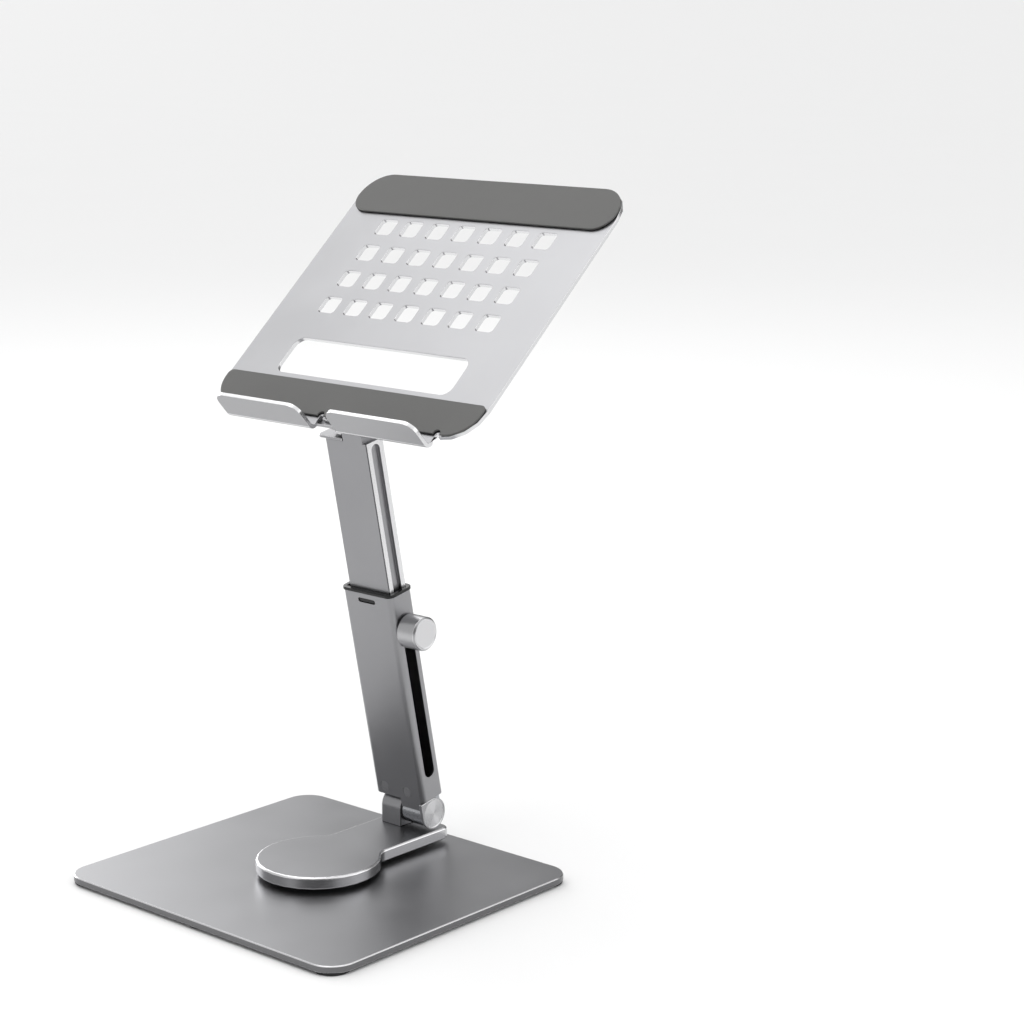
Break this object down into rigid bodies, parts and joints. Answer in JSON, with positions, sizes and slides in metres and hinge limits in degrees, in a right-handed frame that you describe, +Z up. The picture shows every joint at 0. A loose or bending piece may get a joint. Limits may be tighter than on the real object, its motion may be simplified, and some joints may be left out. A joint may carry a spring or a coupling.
{
  "type": "tablet stand",
  "caption": "Folding desk stand for a tablet: flat base, swivelling foot, leaning telescopic arm with a clamp knob, and a tilting perforated tray with padded rests and hooked lips.",
  "frame": {"origin": "centre of the underside of the base, on the table, on the swivel axis", "axes": "+Z up; +X to the right of the person using the tablet; -Y towards that person, +Y towards the hinge at the back of the foot plate"},
  "size_m": [0.18, 0.2101, 0.321],
  "materials": {
    "base_metal": "bead-blasted dark silver coat over steel, bright bevelled edges",
    "arm_metal": "fine satin anodised",
    "tray_metal": "fine satin anodised, bright cut edges",
    "bright_metal": "turned and polished",
    "steel": "zinc-plated",
    "black_plastic": "moulded, semi-gloss",
    "bearing_plastic": "smooth moulded acetal",
    "pad_silicone": "matt silicone",
    "foot_rubber": "matt rubber"
  },
  "bodies": {
    "base": {"base_plate": "base_metal", "centre_pad": "foot_rubber", "bearing_ring": "bearing_plastic", "slip_washer": "bearing_plastic", "foot_front_left": "foot_rubber", "foot_front_middle": "foot_rubber", "foot_front_right": "foot_rubber", "foot_rear_left": "foot_rubber", "foot_rear_middle": "foot_rubber", "foot_rear_right": "foot_rubber"},
    "swivel": {"swivel_plate": "base_metal", "retaining_disc": "steel", "retainer_screw_1": "steel", "retainer_screw_2": "steel", "retainer_screw_3": "steel", "hinge_lug": "base_metal", "lug_screw_1": "steel", "lug_screw_2": "steel"},
    "arm": {"lower_tube": "arm_metal", "hinge_knuckle": "bright_metal", "hinge_cap": "bright_metal", "hinge_pin": "steel", "friction_washer": "bearing_plastic", "spring_washer": "steel", "hinge_nut": "steel", "tube_rivet_1": "arm_metal", "tube_rivet_2": "arm_metal", "tube_collar": "black_plastic"},
    "bar": {"upper_bar": "arm_metal", "stop_plate": "arm_metal", "stop_screw": "steel", "slot_bush": "bearing_plastic"},
    "knob": {"lock_knob": "bright_metal", "lock_screw": "steel", "lock_washer": "bright_metal"},
    "tray": {"tray_plate": "tray_metal", "top_pad": "pad_silicone", "bottom_pad": "pad_silicone", "tray_hinge": "tray_metal", "tray_screw_1": "steel", "tray_screw_2": "steel", "tray_screw_3": "steel", "tray_screw_4": "steel", "tray_pin": "steel", "tray_nut": "steel", "tray_washer": "steel", "friction_disc_left": "bearing_plastic", "friction_disc_right": "bearing_plastic"}
  },
  "joints": [
    {"name": "base_swivel", "type": "hinge", "parent": "base", "child": "swivel", "pos_m": [0, 0, 0.0047], "axis": [0, 0, 1], "continuous": true},
    {"name": "arm_tilt", "type": "hinge", "parent": "swivel", "child": "arm", "pos_m": [0, 0.0628, 0.0212], "axis": [1, 0, 0], "range_deg": [-20, 74]},
    {"name": "bar_slide", "type": "slide", "parent": "arm", "child": "bar", "axis": [0, -0.1959, 0.9806], "range_m": [-0.072, 0.003]},
    {"name": "knob_turn", "type": "hinge", "parent": "bar", "child": "knob", "pos_m": [0.0225, 0.04499, 0.11646], "axis": [1, 0, 0], "range_deg": [0, 360]},
    {"name": "tray_tilt", "type": "hinge", "parent": "bar", "child": "tray", "pos_m": [0, 0.02528, 0.21511], "axis": [1, 0, 0], "range_deg": [-80, 8]}
  ]
}
